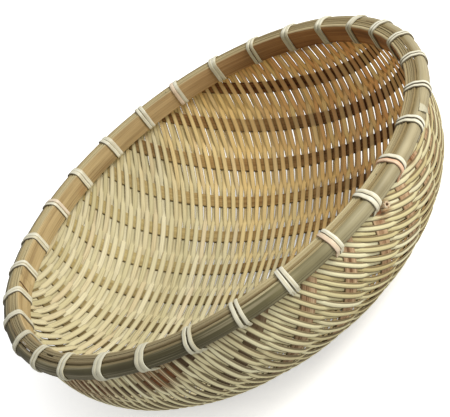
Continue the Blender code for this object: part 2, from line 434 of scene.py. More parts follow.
def ribPaint():
    paint = Paint("rib_bamboo", Specular_IOR_Level=0.15)
    along, across = paint.fibre()
    x, y, z = paint.place()
    tone = paint.luck(across.whole() + 0.5)
    inside = 1 - paint.outward().between(-0.2, 0.2)
    broad = paint.speckle(along * 12, across * 4, tone * 30)
    fine = paint.speckle(along * 18, across * 24, tone * 10, detail=5.0, roughness=0.65)
    grain = broad * 0.45 + fine * 0.55
    outer = paint.ramp(grain, [
        (0.36, (0.15, 0.075, 0.035)), (0.45, (0.33, 0.20, 0.105)),
        (0.53, (0.47, 0.31, 0.175)), (0.64, (0.62, 0.47, 0.29))])
    outer = paint.mix(sideShare(x, y, "shadedOutside") * 0.9, outer, (0.045, 0.027, 0.011))
    # painted shade just below the outer hoop, on the low near stretch
    underHoop = z.between(*heights["underHoop"]) * sideShare(x, y, "shadedLowRim")
    outer = paint.mix(underHoop * 0.8, outer, (0.05, 0.028, 0.012))
    straw = paint.ramp(grain, [
        (0.34, (0.30, 0.22, 0.085)), (0.45, (0.44, 0.34, 0.14)), (0.60, (0.56, 0.46, 0.21))])
    straw = paint.mix(sideShare(x, y, "shadedInside") * 0.9, straw, (0.13, 0.09, 0.035))
    amber = paint.ramp(grain, [
        (0.34, (0.22, 0.115, 0.035)), (0.50, (0.38, 0.22, 0.075)), (0.66, (0.50, 0.32, 0.12))])
    dark = paint.ramp(grain, [
        (0.34, (0.035, 0.012, 0.004)), (0.50, (0.12, 0.042, 0.012)), (0.66, (0.26, 0.11, 0.035))])
    inner = paint.mix(sideShare(x, y, "amberRibs"), straw, amber)
    farRow = z.between(*heights["farRow"]) * sideShare(x, y, "farRow") * 0.7
    # partly painted shade: the ribs darken towards the backlit far wall
    inner = paint.mix((sideShare(x, y, "darkRibs") + farRow).held(), inner, dark)
    color = paint.mix(inside, outer, inner)
    # the edge towards the picture's low side is in its own shade
    edge = 1 - (across - across.whole()).between(*ribs["shadedEdge"])
    color = paint.mix(edge * 0.8, color, (0.085, 0.060, 0.022))
    color = stained(paint, color, (x, y, z), fine.between(0.42, 0.54) * 0.95, (0.20, 0.065, 0.018))
    paint.finish(color, 0.6 + 0.2 * fine, fine, 0.4, 0.5 * mm)
    return paint


def makeRibs():
    paint = ribPaint()
    blank = makeBlank("rib_blank", roundedOutline(12, ribs["squareness"]), ribs["rings"])
    for number in range(ribs["count"]):
        middle = ribMiddle(number)
        edges = (middle - ribs["width"] / 2, middle + ribs["width"] / 2)
        start = -min(rimReach(edge, -1, True) for edge in edges)
        end = min(rimReach(edge, 1, True) for edge in edges)
        phase = chance.uniform(0, math.tau, 3)
        usualWidth = ribs["width"] * chance.uniform(*ribs["widthRange"])

        def bend(along, across, depth):
            b = start + along * (end - start)
            first, second = ribs["wanderWaves"]
            wander = ribs["wander"] * (np.sin(b * first + phase[0]) + np.sin(b * second + phase[1])) / 2
            width = usualWidth * (1 + ribs["swell"] * np.sin(b * ribs["swellWave"] + phase[2]))
            a = middle + wander + across * width / drawnIn(middle, b)
            points = weavePoints(a, b, depth * ribs["thickness"])
            return points, fibrePlaces(b, number, across)

        lath = bendLath(blank, "rib", bend)
        joinLaths([lath], f"rib_strip_{number + 1:02d}", paint, "rib", f"rib_{number + 1:02d}")
    bpy.data.objects.remove(blank)


makeRibs()
print("ribs bent")


# Weavers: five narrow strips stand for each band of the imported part
weavers = {
    "bands": 25,
    "perBand": 5,
    "edge": 16.8 * mm,             # from the rim to the middle of the outermost band
    "width": 2.6 * mm,
    "widthRange": (0.95, 1.03),    # from strip to strip
    "swell": 0.03,                 # along one strip
    "swellWave": 60,               # radians per metre, as for the other waves
    "taper": -0.45,                # the skin side outside is narrower
    "squareness": 0.7,
    # shares of the width by which the inner side is wider, so that the weave closes: on the cream
    # side at three shares of the wall's length, and towards the far wall, painted brown, and the near side
    "creamSide": (-0.70, 0.71),
    "creamPlaces": [0.05, 0.25, 0.90],
    "creamCloser": [0.06, 0.32, 0.50],
    "farWallCloser": 1.3,
    "farWallPower": 2.5,
    "nearSide": (-0.71, -0.70),
    "nearCloser": 0.35,
    # it is narrower far up under the rim, where light comes through
    "farSide": (0.98, -0.21),
    "farCloser": -0.34,
    "farPower": 8,
    "farStart": 155 * mm,
    "farFull": 172 * mm,
    # and a little wider on the floor
    "floorCloser": 0.14,
    "floorStart": 115 * mm,
    "floorFull": 80 * mm,
    "thickness": 0.95 * mm,
    "lift": 0.96 * mm,             # from the middle of the wall, where a strip crosses a rib
    "clampedLift": 0.35,           # share of the lift that is left where the hoops clamp the strips
    "clampStart": 36 * mm,         # from the strip's end
    "clampFull": 8 * mm,
    "flatness": 1.8,
    "early": 0.14,                 # a strip changes sides nearer to one of its two ribs
    "jitter": 0.08 * mm,
    "sharedWander": 0.15 * mm,     # neighbours wander together
    "sharedWaves": (40, 55),       # along a strip, and from one to the next
    "ownWander": 0.12 * mm,
    "ownWave": 95,
    "rings": 172,
    "shortest": 0.6 * mm,          # strips end short of the rim by up to this much
    "onRib": (0.13, 0.21),         # shares of the pitch from a rib's middle where its shadow ends
    "jointShade": (0.22, 0.36),         # shares of the width from a strip's middle where its sides darken with painted shade
}
bandPitch = (wallEnd - weavers["edge"]) / ((weavers["bands"] - 1) / 2)
weaverPitch = bandPitch / weavers["perBand"]


def weaveLift(a, number):
    turn = math.pi * (a - ribs["shift"]) / ribPitch
    wave = np.cos(turn + math.pi * weavers["early"] * np.sin(turn) ** 2) * (-1) ** number
    return weavers["lift"] * np.tanh(weavers["flatness"] * wave) / math.tanh(weavers["flatness"])


def closerShare(u, v):
    cream = towards(u, v, weavers["creamSide"]) / wallEnd
    near = towards(u, v, weavers["nearSide"]) / wallEnd
    reach = flatReach(u, v)
    far = towards(u, v, weavers["farSide"]) / reach
    underRim = np.interp(reach, [weavers["farStart"], weavers["farFull"]], [0, 1])
    underRim = underRim * np.maximum(far, 0) ** weavers["farPower"]
    onFloor = np.interp(reach, [weavers["floorFull"], weavers["floorStart"]], [1, 0])
    share = np.interp(cream, weavers["creamPlaces"], weavers["creamCloser"])
    share = share + weavers["farWallCloser"] * np.maximum(-cream, 0) ** weavers["farWallPower"]
    share = share + weavers["nearCloser"] * np.maximum(near, 0)
    return share + weavers["farCloser"] * underRim + weavers["floorCloser"] * onFloor


def weaverPaint():
    paint = Paint("weaver_bamboo", Specular_IOR_Level=0.2)
    along, across = paint.fibre()
    x, y, z = paint.place()
    number = across.whole()
    tone = paint.luck(number)
    inside = 1 - paint.outward().between(-0.40, -0.15)
    drift = paint.speckle(along * 14, number * 7.3, 0.0)
    streak = paint.speckle(along * 45, across * 9, tone * 40, detail=4.0)
    outer = paint.ramp(tone * 0.5 + drift * 0.5, [
        (0.20, (0.53, 0.44, 0.21)), (0.45, (0.67, 0.60, 0.33)),
        (0.65, (0.77, 0.72, 0.46)), (0.85, (0.86, 0.83, 0.60))])
    outer = paint.mix(sideShare(x, y, "dulled") * 0.4, outer, (0.42, 0.34, 0.17))
    outer = paint.mix(sideShare(x, y, "bleached") * 0.5, outer, (0.93, 0.86, 0.57))
    # painted shade just below the outer hoop, on the low near stretch
    underHoop = z.between(*heights["underHoop"]) * sideShare(x, y, "shadedLowRim")
    outer = paint.mix(underHoop * 0.75, outer, (0.07, 0.045, 0.02))
    # inside, each strip turns brown towards the far wall at its own pace: painted shade and warm bounce light
    farWallInside = sideShare(x, y, "farWallShade")
    brown = (farWallInside + (tone - 0.5) * 0.22 + (drift - 0.5) * 0.3).held()
    inner = paint.ramp(brown, [
        (0.0, (0.66, 0.60, 0.37)), (0.25, (0.74, 0.61, 0.31)),
        (0.6, (0.86, 0.61, 0.25)), (1.0, (0.93, 0.57, 0.20))])
    uneven = paint.ramp(drift * 0.5 + tone * 0.5, [
        (0.3, (0.74, 0.30, 0.09)), (0.5, (0.88, 0.54, 0.19)), (0.7, (0.88, 0.70, 0.30))])
    inner = paint.mix(brown.between(0.4, 0.95) * 0.6, inner, uneven)
    fresh = paint.ramp(paint.luck(number + 0.7) * 0.6 + drift * 0.4, [
        (0.25, (0.61, 0.55, 0.32)), (0.5, (0.67, 0.61, 0.38)), (0.75, (0.74, 0.68, 0.45))])
    inner = paint.mix(1 - brown.between(0.0, 0.3), inner, fresh)
    rosy = (paint.luck(number + 0.3) - 0.62).between(0.0, 0.3) * 0.22
    inner = paint.mix(rosy, inner, (0.72, 0.50, 0.31))
    # light comes through a strip from behind except where it lies on a rib
    crossing = (along - ribs["shift"]) * (1 / ribPitch) + 0.5
    onRib = 1 - (crossing - crossing.whole() - 0.5).size().between(*weavers["onRib"])
    inner = paint.mix(onRib * brown.between(0.35, 0.9) * 0.55, inner, (0.24, 0.125, 0.06))
    color = paint.mix(inside, outer, inner)
    rimStain = z.between(*heights["rimStain"]) * inside * drift.between(0.35, 0.65) * farWallInside
    color = paint.mix(rimStain * 0.3, color, (0.44, 0.16, 0.04))
    color = paint.mix(streak.between(0.52, 0.75) * 0.5, color, (0.26, 0.14, 0.05))
    color = stained(paint, color, (x, y, z), streak.between(0.38, 0.52) * 0.85, (0.24, 0.09, 0.024))
    # painted shade: the sides of a strip are dark where it lies against the next one
    jointShade = (across - number - 0.5).size().between(*weavers["jointShade"])
    color = paint.mix(jointShade * (0.9 - 0.55 * inside), color, (0.13, 0.086, 0.038))
    paint.finish(color, 0.42 + 0.25 * streak, streak, 0.25, 0.3 * mm)
    return paint


def makeWeavers():
    paint = weaverPaint()
    outline = roundedOutline(10, weavers["squareness"], weavers["taper"])
    blank = makeBlank("weaver_blank", outline, weavers["rings"])
    half = (weavers["bands"] * weavers["perBand"] - 1) / 2
    for band in range(weavers["bands"]):
        strips = []
        for step in range(weavers["perBand"]):
            number = band * weavers["perBand"] + step
            middle = weaverPitch * (number - half) + chance.normal(0, weavers["jitter"])
            start = chance.uniform(0, weavers["shortest"]) - rimReach(middle, -1, False)
            end = rimReach(middle, 1, False) - chance.uniform(0, weavers["shortest"])
            usualWidth = weavers["width"] * chance.uniform(*weavers["widthRange"])
            phase = chance.uniform(0, math.tau, 2)

            def bend(along, across, depth):
                a = start + along * (end - start)
                waveAlong, waveAside = weavers["sharedWaves"]
                shared = weavers["sharedWander"] * np.sin(a * waveAlong + middle * waveAside)
                own = weavers["ownWander"] * np.sin(a * weavers["ownWave"] + phase[0])
                u, v = weavePlace(a, middle)
                closer = closerShare(u, v) * (0.5 - depth)
                swell = weavers["swell"] * np.sin(a * weavers["swellWave"] + phase[1])
                b = middle + shared + own + across * usualWidth * (1 + swell + closer)
                toRim = wallEnd - flatReach(u, v)
                clamps = [weavers["clampFull"], weavers["clampStart"]]
                clamped = np.interp(toRim, clamps, [weavers["clampedLift"], 1])
                offset = weaveLift(a, number) * clamped + depth * weavers["thickness"]
                return weavePoints(a, b, offset), fibrePlaces(a, number, across)

            strips.append(bendLath(blank, "weaver", bend))
        joinLaths(strips, f"weaver_strips_{band + 1:02d}", paint, "weaver", f"weaver_{band + 1:02d}")
    bpy.data.objects.remove(blank)


makeWeavers()
print("weavers woven")


# Rim: two hoops clamp the strip ends, and splints lie on the slot between them
rim = {
    "top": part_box("inner_hoop")[1].z,
    "lapDegrees": 16,
    "slack": 0.08 * mm,            # between a hoop's two lapped ends
    "lastTip": 0.4,                # share of the tip's thickness that the last end gains back
    "endSlant": 2.4,               # degrees that a lath's first end leans over its height
    "radiusWobble": 0.05 * mm,
    "heightWobble": 0.08 * mm,
    "rings": 420,
}
outerHoop = {
    "inside": 143.35 * mm,
    "thickness": 5.45 * mm,
    "height": 7.9 * mm,
    "top": rim["top"] - 0.7 * mm,  # it sits lower than the inner one
    "tip": 0.75 * mm,              # thickness of its thin ends
    "lapStart": 274.5,             # degrees
    # thickness and height shares of the section, from the underside up the inner face and down outside
    "sectionShares": [
        (0.04, 0.0), (0.0, 0.05), (0.0, 0.5), (0.0, 0.95), (0.03, 0.99), (0.16, 1.0),
        (0.42, 0.99), (0.62, 0.965), (0.78, 0.905), (0.90, 0.80), (0.98, 0.65), (1.0, 0.50),
        (0.98, 0.33), (0.91, 0.17), (0.77, 0.05), (0.5, 0.0),
    ],
    # the top is bare wood, out to these distances from the inner face
    "bareFull": 1.5 * mm,
    "bareEnd": 2.4 * mm,
    "bareWander": 1.6 * mm,
    # the cut first end: how far it runs along the lath for its height, and where its pale cut fades
    "cutLean": 0.58,
    "cutFull": 1.6 * mm,
    "cutEnd": 3.0 * mm,
}
innerHoop = {
    "inside": 135.85 * mm,
    "thickness": 2.6 * mm,
    "height": 13.2 * mm,
    "top": rim["top"],
    "tip": 0.35 * mm,
    "lapStart": 96,                # degrees
    "sectionShares": [
        (0.12, 0.0), (0.0, 0.05), (0.0, 0.45), (0.0, 0.84), (0.08, 0.92), (0.24, 0.97),
        (0.50, 1.0), (0.86, 1.0), (1.0, 0.97), (1.0, 0.5), (1.0, 0.03), (0.9, 0.0),
    ],
    # bare wood with a painted highlight along the edge shows between these depths and the top
    "bareStart": 0.9 * mm,
    "bareFull": 0.1 * mm,
    "bruise": (73.6, 83.5 * mm, 7 * mm),      # degrees, height and reach
    # a short split in the face
    "splitDegrees": 115.5,
    "splitMiddle": 90.4 * mm,
    "splitLength": 8.6 * mm,
    "splitLean": -0.23,
    "splitHalf": (0.5 * mm, 1.0 * mm),        # half its width, full and faded
    "splitWander": 0.8 * mm,
}


def wobble(angle, size, phase):
    waves = np.sin(3 * angle + phase) + np.sin(7 * angle + 2 * phase) * 0.6
    return size * (waves + np.sin(17 * angle + 3 * phase) * 0.35)


def skinPaint():
    paint = Paint("skin_bamboo", Specular_IOR_Level=0.3)
    along, across = paint.fibre()
    x, y, z = paint.place()
    broad = paint.speckle(along * 11, across * 240, 0.0, detail=3.0)
    lines = paint.speckle(along * 7, across * 1500, 3.0, detail=4.0, roughness=0.6)
    cloud = paint.speckle(along * 26, across * 70, 8.0)
    tone = broad * 0.5 + cloud * 0.5
    green = paint.ramp(tone, [
        (0.34, (0.068, 0.057, 0.022)), (0.45, (0.125, 0.108, 0.048)),
        (0.55, (0.195, 0.17, 0.08)), (0.68, (0.29, 0.25, 0.13))])
    weatheredAndLit = paint.ramp(tone, [
        (0.34, (0.28, 0.23, 0.125)), (0.45, (0.38, 0.325, 0.19)),
        (0.55, (0.48, 0.42, 0.255)), (0.68, (0.58, 0.52, 0.33))])
    weatheredAndLit = paint.mix(sideShare(x, y, "dulled") * 0.35, weatheredAndLit, (0.27, 0.21, 0.11))
    # paler towards the lit far right: partly weathered skin, partly painted light
    wornAndLit = sideShare(x, y, "wornAndLit", (cloud - 0.5) * (50 * mm))
    shadedLowRim = sideShare(x, y, "shadedLowRim")
    color = paint.mix(wornAndLit, green, weatheredAndLit)
    # painted shade on the low near stretch of the rim
    color = paint.mix(shadedLowRim * 0.75, color, (0.052, 0.044, 0.018))
    color = paint.mix(lines.between(0.52, 0.64) * (0.6 - 0.3 * wornAndLit), color, (0.055, 0.042, 0.020))
    color = paint.mix((1 - lines.between(0.36, 0.47)) * 0.4, color, (0.46, 0.40, 0.26))
    # the cut edge on top is bare wood
    depth = (x * x + y * y) ** 0.5 + (cloud - 0.5) * outerHoop["bareWander"] - outerHoop["inside"]
    edge = 1 - depth.between(outerHoop["bareFull"], outerHoop["bareEnd"])
    bare = paint.ramp(broad * 0.5 + lines * 0.5, [
        (0.38, (0.24, 0.18, 0.08)), (0.50, (0.46, 0.38, 0.20)), (0.60, (0.66, 0.60, 0.38))])
    # painted shade on the bare top there too
    bare = paint.mix(shadedLowRim * 0.6, bare, (0.11, 0.080, 0.040))
    bare = paint.mix(sideShare(x, y, "dulled") * 0.55, bare, (0.22, 0.16, 0.07))
    color = paint.mix(edge, color, bare)
    # the lath's slanting first end is cut pale
    fromCut = along - outerHoop["cutLean"] * (z - (outerHoop["top"] - outerHoop["height"]))
    cut = 1 - fromCut.between(outerHoop["cutFull"], outerHoop["cutEnd"])
    color = paint.mix(cut * 0.6, color, (0.62, 0.60, 0.45))
    paint.finish(color, 0.36 + 0.32 * lines, lines + cloud * 0.4, 0.35, 0.6 * mm)
    return paint


def splitShare(x, y, z, wander):
    # inside the split in the inner hoop's face
    turn = math.radians(innerHoop["splitDegrees"])
    above = z - innerHoop["splitMiddle"]
    aside = y * math.cos(turn) - x * math.sin(turn) - above * innerHoop["splitLean"]
    within = above.size() < innerHoop["splitLength"] / 2
    facing = (x * math.cos(turn) + y * math.sin(turn)) > 0.0
    return (1 - (aside + wander).size().between(*innerHoop["splitHalf"])) * within * facing


def innerPaint():
    paint = Paint("inner_bamboo", Specular_IOR_Level=0.15)
    along, across = paint.fibre()
    x, y, z = paint.place()
    broad = paint.speckle(along * 12, across * 150, 0.0, detail=3.0)
    lines = paint.speckle(along * 8, across * 1700, 3.0, detail=4.0, roughness=0.6)
    grain = broad * 0.55 + lines * 0.45
    pale = paint.ramp(grain, [
        (0.36, (0.27, 0.18, 0.08)), (0.5, (0.49, 0.365, 0.18)), (0.64, (0.64, 0.50, 0.27))])
    dark = paint.ramp(grain, [
        (0.36, (0.13, 0.05, 0.014)), (0.5, (0.27, 0.12, 0.037)), (0.64, (0.40, 0.21, 0.075))])
    # painted shade: the inner hoop's face darkens towards the far wall
    color = paint.mix(sideShare(x, y, "farWallShade"), pale, dark)
    # the top edge is bare wood, lightened further as a painted highlight
    top = z.between(innerHoop["top"] - innerHoop["bareStart"], innerHoop["top"] - innerHoop["bareFull"])
    bare = paint.ramp(lines, [(0.4, (0.38, 0.30, 0.15)), (0.6, (0.60, 0.53, 0.32))])
    # painted shade on the low near stretch of the rim
    bare = paint.mix(sideShare(x, y, "shadedLowRim") * 0.6, bare, (0.12, 0.085, 0.042))
    color = paint.mix(top * 0.85, color, bare)
    degrees, height, reach = innerHoop["bruise"]
    bruise = spotShare(x, y, z, degrees, innerHoop["inside"], height, reach)
    color = paint.mix(bruise * broad.between(0.35, 0.6), color, (0.34, 0.15, 0.045))
    split = splitShare(x, y, z, (lines - 0.5) * innerHoop["splitWander"])
    color = paint.mix(split, color, (0.075, 0.032, 0.010))
    paint.finish(color, 0.5 + 0.2 * lines, lines - split * 3, 0.3, 0.5 * mm)
    return paint


def makeHoop(name, hoop, paint, slot):
    outline = [(height - 0.5, depth - 0.5) for depth, height in hoop["sectionShares"]]
    blank = makeBlank(name + "_blank", outline, rim["rings"])
    lap = math.radians(rim["lapDegrees"])
    start = math.radians(hoop["lapStart"])
    tip = hoop["tip"] / hoop["thickness"]
    slack = rim["slack"] / hoop["thickness"]

    def bend(along, across, depth):
        # the first end thins to the outer face, and the last end to the inner face under it
        turn = along * (math.tau + lap)
        early = np.clip(turn / lap, 0, 1)
        late = np.clip((turn - math.tau) / lap, 0, 1)
        least = (1 - tip) * (1 - early) + slack
        most = (1 - tip) * (1 - late) + tip * late * rim["lastTip"] - slack
        share = depth + 0.5
        share = np.where(turn < lap, np.maximum(share, least), share)
        share = np.where(turn > math.tau, np.minimum(share, most), share)
        angle = start + turn + math.radians(rim["endSlant"]) * (0.5 - across) * (1 - early)
        radius = hoop["inside"] + share * hoop["thickness"] + wobble(angle, rim["radiusWobble"], 1.0)
        level = hoop["top"] - (0.5 - across) * hoop["height"] + wobble(angle, rim["heightWobble"], 2.2)
        around = across * hoop["height"] + depth * hoop["thickness"]
        return aroundRim(radius, angle, level), np.stack([turn * hoop["inside"], around], axis=1)

    lath = bendLath(blank, name, bend)
    joinLaths([lath], name + "_lath", paint, slot, name)
    bpy.data.objects.remove(blank)


makeHoop("outer_hoop", outerHoop, skinPaint(), "hoop_skin")
makeHoop("inner_hoop", innerHoop, innerPaint(), "hoop_inner")
print("hoops bent")


# Splints: four on top of the slot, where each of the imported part's two stands for a pair
splints = {
    "inside": 138.55 * mm,
    "widths": [1.25 * mm, 1.0 * mm, 1.2 * mm, 0.95 * mm],
    "gap": 0.1 * mm,
    "height": 2.4 * mm,
    "squareness": 0.35,
    "tops": [0.25 * mm, 0.05 * mm, 0.3 * mm, 0.5 * mm],   # above the hoops
    "starts": [40, 160, 255, 330],                        # where each splint's ends meet, in degrees
    "openDegrees": 3,                                     # between a splint's two ends
    "wobble": 0.05 * mm,
    "rings": 300,
}


def splintPaint():
    paint = Paint("splint_bamboo", Specular_IOR_Level=0.3)
    along, across = paint.fibre()
    x, y, z = paint.place()
    tone = paint.luck(across.whole() + 0.5)
    broad = paint.speckle(along * 14, across * 4, tone * 20)
    lines = paint.speckle(along * 16, across * 18, tone * 9, detail=4.0, roughness=0.6)
    color = paint.ramp(tone * 0.2 + broad * 0.35 + lines * 0.45, [
        (0.32, (0.15, 0.10, 0.04)), (0.44, (0.35, 0.27, 0.13)),
        (0.56, (0.49, 0.40, 0.21)), (0.70, (0.62, 0.55, 0.33))])
    # painted shade on the low near stretch of the rim
    color = paint.mix(sideShare(x, y, "shadedLowRim") * 0.6, color, (0.11, 0.080, 0.040))
    color = paint.mix(sideShare(x, y, "dulled") * 0.5, color, (0.20, 0.14, 0.06))
    paint.finish(color, 0.5 + 0.2 * lines, lines, 0.35, 0.4 * mm)
    return paint


def makeSplints():
    paint = splintPaint()
    blank = makeBlank("splint_blank", roundedOutline(12, splints["squareness"]), splints["rings"])
    inside = splints["inside"]
    pieces = []
    for number, width in enumerate(splints["widths"]):
        middle = inside + width / 2
        top = rim["top"] + splints["tops"][number]
        start = math.radians(splints["starts"][number])

        def bend(along, across, depth):
            turn = along * (math.tau - math.radians(splints["openDegrees"]))
            angle = start + turn
            radius = middle + across * width + wobble(angle, splints["wobble"], number + 0.4)
            level = top - (0.5 - depth) * splints["height"] + wobble(angle, splints["wobble"], number * 1.7)
            return aroundRim(radius, angle, level), fibrePlaces(turn * middle, number, across)

        pieces.append(bendLath(blank, "splint", bend))
        inside += width + splints["gap"]
    joinLaths(pieces[:2], "splints_inner", paint, "splint", "capping_splint_1")
    joinLaths(pieces[2:], "splints_outer", paint, "splint", "capping_splint_2")
    bpy.data.objects.remove(blank)


makeSplints()
print("splints laid")


# Binding: at each lashing the rattan strand goes twice round the rim, through the weave
binding = {
    # where each lashing crosses the rim, in degrees
    "places": [8.9, 21.4, 34.3, 46.1, 58.7, 71.4, 83.2, 96.4, 107.5, 118.6,
               130.0, 141.8, 153.8, 165.4, 177.6, 189.3, 201.4, 212.9, 224.9, 237.0,
               249.1, 259.4, 271.8, 284.3, 297.1, 309.9, 321.1, 332.1, 344.6, 356.9],
    "turnRadius": 145.35 * mm,     # at which the strands' widths are measured round the rim
    "thickness": 0.9 * mm,
    "squareness": 0.45,
    "crown": 0.12 * mm,            # a strand's edges lie this much lower than its back
    "clear": 0.28 * mm,
    "pair": 5.7 * mm,              # two strands and the gap between them
    "widthRange": (0.92, 1.06),    # from strand to strand
    "gaps": [0.1 * mm, 0.3 * mm, 0.5 * mm],
    # the lashings whose two strands stand open, and those whose strands touch
    "openGaps": {16: 0.9 * mm, 17: 1.0 * mm, 18: 0.6 * mm, 21: 0.7 * mm,
                 22: 1.0 * mm, 23: 1.1 * mm, 24: 0.8 * mm},
    "closedGaps": [15, 19, 20],
    "slant": 0.35 * mm,
    "wander": 0.1 * mm,
    "wanderWave": 12,              # radians in one turn round the rim
    "samples": 240,
    "cornerSteps": 4,
    "softening": 11,               # samples over which the strand rounds off a corner
    "rings": 90,
    "under": 81.2 * mm,            # height at which the strand goes through the weave
    # shares of the hoops' thickness where the strand leaves the outer one and meets the inner one
    "outerPart": 0.4,
    "innerPart": 0.45,
    # where it lies on the splints: radius, and height above the hoops
    "overSplints": [(142.8 * mm, 0.5 * mm), (138.8 * mm, 0.3 * mm)],
    "blushing": {42: 1.0, 38: 0.45, 5: 0.4, 12: 0.3},     # pinkish strands
    # strands carry a painted shadow along one edge, the more the further out they lie to this side or away
    # from it
    "shadowSide": (0.185, 0.69),
    "shadowGain": 2.5,
    "shadowEdge": (0.28, 0.36),     # shares of the width from a strand's middle
    "insideDepth": 3 * mm,         # the strands are darker inside the bowl, a painted shade on the far wall that fades out over this
}


def hoopCorners(hoop):
    # radius and height of the corners of a hoop's section, up the outer face and down the inner one
    for depth, height in reversed(hoop["sectionShares"]):
        yield hoop["inside"] + depth * hoop["thickness"], hoop["top"] - (1 - height) * hoop["height"]


def rimOutline():
    # the rim's section as the strand meets it, anticlockwise from the underside outside: the outer
    # part of the outer hoop, the splints and the inner part of the inner hoop
    outerStart = outerHoop["inside"] + binding["outerPart"] * outerHoop["thickness"]
    innerEnd = innerHoop["inside"] + binding["innerPart"] * innerHoop["thickness"]
    outside = [corner for corner in hoopCorners(outerHoop) if corner[0] > outerStart]
    inside = [corner for corner in hoopCorners(innerHoop) if corner[0] < innerEnd]
    cap = [(radius, rim["top"] + rise) for radius, rise in binding["overSplints"]]
    return outside + cap + inside + [(wall["slotRadius"], binding["under"])]


def roundedLoop(corners, distance, count):
    # the outline moved outward, with its corners rounded, and evenly spaced
    corners = np.array(corners)
    points = []
    for i, corner in enumerate(corners):
        before = corner - corners[i - 1]
        after = corners[(i + 1) % len(corners)] - corner
        first = math.atan2(-before[0], before[1])
        turn = math.atan2(before[0] * after[1] - before[1] * after[0], before @ after)
        for step in range(binding["cornerSteps"] + 1):
            away = first + max(turn, 0) * step / binding["cornerSteps"]
            points.append(corner + distance * np.array([math.cos(away), math.sin(away)]))
    points = np.array(points + points[:1])
    length = np.concatenate([[0], np.cumsum(np.hypot(*np.diff(points, axis=0).T))])
    even = np.linspace(0, length[-1], count)
    loop = np.stack([np.interp(even, length, axis) for axis in points.T], axis=1)
    return loop, length[-1]


def strandLoop():
    # one turn of the strand round the rim as radius and height, with its tangent and length
    distance = binding["clear"] + binding["thickness"] / 2
    loop, loopLength = roundedLoop(rimOutline(), distance, binding["samples"] + 1)
    window = binding["softening"]
    ring = np.concatenate([loop[-1 - window:-1], loop, loop[1:window + 1]])
    weights = np.hanning(2 * window + 3)[1:-1]
    loop = np.stack([np.convolve(axis, weights / weights.sum(), "valid") for axis in ring.T], axis=1)
    tangent = np.gradient(loop, axis=0)
    tangent /= np.hypot(*tangent.T)[:, None]
    return loop, tangent, loopLength


def rattanPaint():
    paint = Paint("rattan_skin", Specular_IOR_Level=0.45)
    along, across = paint.fibre()
    x, y, z = paint.place()
    number = across.whole()
    tone = paint.luck(number + 0.5)
    lines = paint.speckle(along * 10, across * 14, tone * 30, detail=3.0)
    cloud = paint.speckle(along * 30, across * 3, tone * 50)
    color = paint.ramp(lines * 0.6 + cloud * 0.4, [
        (0.32, (0.44, 0.36, 0.20)), (0.43, (0.68, 0.63, 0.45)), (0.56, (0.82, 0.80, 0.66))])
    # painted shade on the strands of the low near stretch
    color = paint.mix(sideShare(x, y, "shadedLowRim") * 0.4, color, (0.42, 0.40, 0.28))
    depth = (x * x + y * y) ** 0.5 - innerHoop["inside"]
    within = 1 - depth.between(0.0, binding["insideDepth"])
    # painted shade on the strands inside the bowl towards the far wall
    color = paint.mix(within * sideShare(x, y, "farWallShade") * 0.65, color, (0.20, 0.17, 0.07))
    # painted shadow along one edge of each strand, but on the half of the rim towards the shadow side only
    # along each lashing's second strand
    offset = across - number - 0.5
    lean = towards(x, y, binding["shadowSide"]) * (binding["shadowGain"] / outerHoop["inside"])
    pairs = number * 0.5
    second = (pairs - pairs.whole()) > 0.25
    strandShadow = lean.held() * second * offset.between(*binding["shadowEdge"])
    strandShadow = strandShadow + (lean * -1).held() * (offset * -1).between(*binding["shadowEdge"])
    color = paint.mix(strandShadow * 0.8, color, (0.085, 0.055, 0.025))
    for strand, share in binding["blushing"].items():
        here = (across - (strand + 0.5)).size() < 0.5
        color = paint.mix(here * (cloud.between(0.2, 0.45) * share), color, (0.78, 0.47, 0.30))
    paint.finish(color, 0.32 + 0.3 * lines, lines, 0.25, 0.3 * mm)
    return paint


def makeBinding():
    paint = rattanPaint()
    loop, tangent, loopLength = strandLoop()
    marks = np.linspace(0, 1, len(loop))
    blank = makeBlank("strand_blank", roundedOutline(12, binding["squareness"]), binding["rings"])
    strands = []
    for number, place in enumerate(binding["places"]):
        middle = math.radians(place)
        gap = 0.0
        if number not in binding["closedGaps"]:
            usualGap = chance.choice(binding["gaps"])
            gap = binding["openGaps"].get(number, usualGap)
        slant = chance.normal(0, binding["slant"])
        for side in (-1, 1):
            usualWidth = (binding["pair"] - gap) / 2
            width = usualWidth * chance.uniform(*binding["widthRange"])
            shift = side * (usualWidth + gap) / 2
            phase = chance.uniform(0, math.tau)
            strand = number * 2 + (side > 0)

            def bend(along, across, depth):
                away = depth * binding["thickness"] - binding["crown"] * (2 * across) ** 2
                radius = np.interp(along, marks, loop[:, 0]) + np.interp(along, marks, tangent[:, 1]) * away
                height = np.interp(along, marks, loop[:, 1]) - np.interp(along, marks, tangent[:, 0]) * away
                sideways = shift + across * width + slant * np.sin(along * math.tau)
                sideways = sideways + binding["wander"] * np.sin(along * binding["wanderWave"] + phase)
                angle = middle + sideways / binding["turnRadius"]
                fibre = fibrePlaces(along * loopLength + number, strand, across)
                return aroundRim(radius, angle, height), fibre

            strands.append(bendLath(blank, "strand", bend))
    joinLaths(strands, "rattan_binding", paint, "rattan", "binding_strand")
    bpy.data.objects.remove(blank)


makeBinding()
print("rim bound")


# A cut end of cane with its dark pith sticks out below the outer hoop
caneEnd = {
    "degrees": 251.5,
    "radius": 145.3 * mm,
    "height": 81.7 * mm,
    "tilt": 20,                    # degrees above level
    "ringRadius": 1.35 * mm,
    "lipRadius": 0.7 * mm,
    "stretch": 1.6,
    "pithRadius": 0.85 * mm,
    "pithDepth": 1.2 * mm,
}


